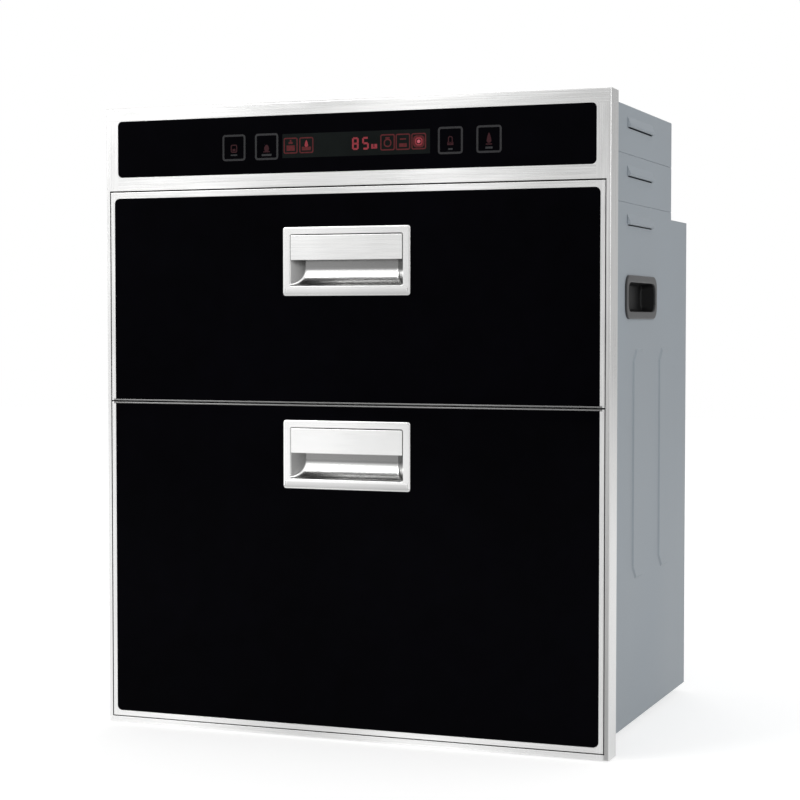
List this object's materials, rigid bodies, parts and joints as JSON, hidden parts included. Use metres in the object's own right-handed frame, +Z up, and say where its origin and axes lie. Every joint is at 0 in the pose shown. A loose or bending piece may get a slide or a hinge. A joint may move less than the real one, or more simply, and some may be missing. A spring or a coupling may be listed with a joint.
{
  "type": "dish sterilizer cabinet",
  "caption": "Built-in dish sterilizer cabinet with a steel front frame, a black glass control panel, two glass-fronted drawers on telescopic slides and a stepped sheet-metal body.",
  "frame": {"origin": "centre of the overall box, at the underside of the feet", "axes": "+X to the viewer's right, +Y to the back, +Z up; the drawers open along -Y"},
  "size_m": [0.598, 0.4378, 0.709],
  "materials": {
    "brushed_steel": "brushed stainless sheet",
    "body_sheet": "satin blue-grey coated steel sheet",
    "galvanised": "plain zinc-coated sheet",
    "black_glass": "black back-printed tempered glass",
    "chamber_steel": "bright rolled stainless liner",
    "handle_metal": "satin-plated casting",
    "chrome_wire": "bright plated wire",
    "slide_steel": "zinc-plated rolled steel",
    "black_plastic": "matte black moulding",
    "grey_plastic": "matte grey moulding",
    "white_plastic": "off-white moulding",
    "seal_rubber": "soft black silicone",
    "foot_rubber": "hard black rubber",
    "quartz": "clear to frosted quartz tube",
    "ceramic": "unglazed ceramic",
    "board": "solder-masked board",
    "motor_iron": "laminated core",
    "screw_steel": "zinc-plated screws"
  },
  "bodies": {
    "cabinet": {"front_frame": "brushed_steel", "face_plate": "galvanised", "control_glass": "black_glass", "control_carrier": "black_plastic", "display_board": "board", "top_cover": "body_sheet", "bay_cover": "body_sheet", "side_panel_right": "body_sheet", "side_panel_left": "body_sheet", "rear_cover": "body_sheet", "base_pan": "galvanised", "bay_deck": "galvanised", "feet": "foot_rubber", "side_grips": "grey_plastic", "upper_chamber": "chamber_steel", "lower_chamber": "chamber_steel", "fan_motor": "motor_iron", "fan_guard": "chamber_steel", "uv_lamp": "quartz", "heater_tubes": "quartz", "tube_holders": "ceramic", "heater_reflector": "chamber_steel", "heater_guard": "chrome_wire", "power_board": "board", "transformer": "motor_iron", "thermostat": "black_plastic", "reed_switches": "white_plastic", "cord_gland": "black_plastic", "panel_screws": "screw_steel", "upper_slide_outer": "slide_steel", "lower_slide_outer": "slide_steel"},
    "fan_rotor": {"fan_impeller": "grey_plastic"},
    "upper_drawer": {"upper_front_pan": "brushed_steel", "upper_glass": "black_glass", "upper_liner": "chamber_steel", "upper_seal": "seal_rubber", "upper_handle_bezel": "handle_metal", "upper_handle_plate": "handle_metal", "upper_slide_inner": "slide_steel", "upper_rack_carrier": "chamber_steel", "upper_drip_tray": "chamber_steel", "upper_rack": "chrome_wire", "upper_magnet": "motor_iron"},
    "upper_slide_mid": {"upper_slide_mid": "slide_steel"},
    "upper_outer_cages": {"upper_outer_cages": "slide_steel"},
    "upper_inner_cages": {"upper_inner_cages": "slide_steel"},
    "lower_drawer": {"lower_front_pan": "brushed_steel", "lower_glass": "black_glass", "lower_liner": "chamber_steel", "lower_seal": "seal_rubber", "lower_handle_bezel": "handle_metal", "lower_handle_plate": "handle_metal", "lower_slide_inner": "slide_steel", "lower_rack_carrier": "chamber_steel", "lower_drip_tray": "chamber_steel", "lower_rack": "chrome_wire", "lower_magnet": "motor_iron"},
    "lower_slide_mid": {"lower_slide_mid": "slide_steel"},
    "lower_outer_cages": {"lower_outer_cages": "slide_steel"},
    "lower_inner_cages": {"lower_inner_cages": "slide_steel"}
  },
  "joints": [
    {"name": "upper_drawer_slide", "type": "slide", "parent": "cabinet", "child": "upper_drawer", "axis": [0, -1, 0], "range_m": [0, 0.3]},
    {"name": "upper_slide_mid_run", "type": "slide", "parent": "cabinet", "child": "upper_slide_mid", "axis": [0, -1, 0], "range_m": [0, 0.15]},
    {"name": "upper_outer_cages_run", "type": "slide", "parent": "cabinet", "child": "upper_outer_cages", "axis": [0, -1, 0], "range_m": [0, 0.075]},
    {"name": "upper_inner_cages_run", "type": "slide", "parent": "cabinet", "child": "upper_inner_cages", "axis": [0, -1, 0], "range_m": [0, 0.225]},
    {"name": "lower_drawer_slide", "type": "slide", "parent": "cabinet", "child": "lower_drawer", "axis": [0, -1, 0], "range_m": [0, 0.3]},
    {"name": "lower_slide_mid_run", "type": "slide", "parent": "cabinet", "child": "lower_slide_mid", "axis": [0, -1, 0], "range_m": [0, 0.15]},
    {"name": "lower_outer_cages_run", "type": "slide", "parent": "cabinet", "child": "lower_outer_cages", "axis": [0, -1, 0], "range_m": [0, 0.075]},
    {"name": "lower_inner_cages_run", "type": "slide", "parent": "cabinet", "child": "lower_inner_cages", "axis": [0, -1, 0], "range_m": [0, 0.225]},
    {"name": "fan_spin", "type": "hinge", "parent": "cabinet", "child": "fan_rotor", "pos_m": [0, -0.0357, 0.5712], "axis": [0, 0, 1], "continuous": true}
  ],
  "couplings": [
    {"joint": "upper_slide_mid_run", "follows": "upper_drawer_slide", "ratio": 0.5},
    {"joint": "upper_outer_cages_run", "follows": "upper_drawer_slide", "ratio": 0.25},
    {"joint": "upper_inner_cages_run", "follows": "upper_drawer_slide", "ratio": 0.75},
    {"joint": "lower_slide_mid_run", "follows": "lower_drawer_slide", "ratio": 0.5},
    {"joint": "lower_outer_cages_run", "follows": "lower_drawer_slide", "ratio": 0.25},
    {"joint": "lower_inner_cages_run", "follows": "lower_drawer_slide", "ratio": 0.75}
  ]
}
